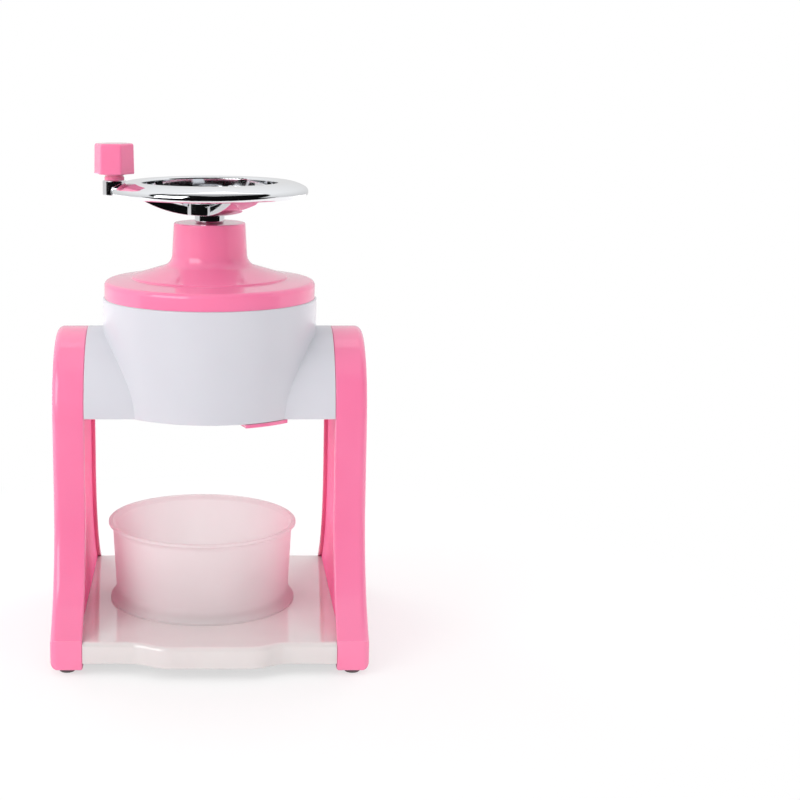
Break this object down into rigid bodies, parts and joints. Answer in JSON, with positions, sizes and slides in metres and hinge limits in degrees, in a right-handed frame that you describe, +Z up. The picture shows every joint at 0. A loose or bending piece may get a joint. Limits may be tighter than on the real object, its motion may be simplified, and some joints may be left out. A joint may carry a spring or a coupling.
{
  "type": "ice shaver with crank",
  "caption": "Hand cranked ice shaver: hopper on two flared side frames, lid with a dished handwheel and knob, spiked press, bayonet blade seat, catch bowl.",
  "frame": {"origin": "on the floor, at the centre of the base, under the crank axis", "axes": "+Z up along the crank axis, -Y the front where the bowl goes in, +X to the right seen from the front"},
  "size_m": [0.169, 0.1716, 0.2746],
  "materials": {
    "pink_plastic": "glossy moulded plastic",
    "white_plastic": "glossy moulded plastic",
    "milky_plastic": "glossy, slightly see-through",
    "frosted_plastic": "frosted, see-through",
    "chrome": "mirror bright plating",
    "steel": "plain steel",
    "rubber": "matte grey rubber",
    "bush_plastic": "plain self-lubricating plastic"
  },
  "bodies": {
    "base": {"base_plate": "milky_plastic", "left_frame": "pink_plastic", "right_frame": "pink_plastic", "left_frame_cover": "pink_plastic", "right_frame_cover": "pink_plastic", "frame_screws": "steel", "screw_plugs": "pink_plastic", "rubber_feet": "rubber", "housing": "white_plastic"},
    "blade_unit": {"blade_seat": "pink_plastic", "blade": "steel", "blade_screws": "steel"},
    "lid": {"lid": "pink_plastic", "neck_bush": "bush_plastic"},
    "press": {"thrust_washer": "bush_plastic", "press_spring": "steel"},
    "crank": {"crank_shaft": "steel", "press_plate": "white_plastic", "press_spikes": "steel", "press_screw": "steel", "hub_collar": "chrome", "handwheel": "chrome", "hub_screw": "steel", "hub_cap": "chrome", "knob_axle": "steel"},
    "knob": {"knob": "pink_plastic", "knob_cap": "pink_plastic"},
    "bowl": {"bowl": "frosted_plastic"}
  },
  "joints": [
    {"name": "lid_lift", "type": "slide", "parent": "base", "child": "lid", "axis": [0, 0, 1], "range_m": [0, 0.08]},
    {"name": "press_slide", "type": "slide", "parent": "lid", "child": "press", "axis": [0, 0, 1], "range_m": [0, 0.028], "stiffness_N_per_m": 800, "springref_m": -0.01, "deforming": ["press_spring"]},
    {"name": "crank_spin", "type": "hinge", "parent": "press", "child": "crank", "pos_m": [0, 0, 0.2], "axis": [0, 0, 1], "continuous": true},
    {"name": "knob_spin", "type": "hinge", "parent": "crank", "child": "knob", "pos_m": [-0.0518, 0, 0.265], "axis": [0, 0, 1], "continuous": true},
    {"name": "blade_seat_turn", "type": "hinge", "parent": "base", "child": "blade_unit", "pos_m": [0, 0, 0.134], "axis": [0, 0, 1], "range_deg": [0, 25]},
    {"name": "bowl_slide", "type": "slide", "parent": "base", "child": "bowl", "axis": [0, -1, 0], "range_m": [0, 0.15]}
  ]
}
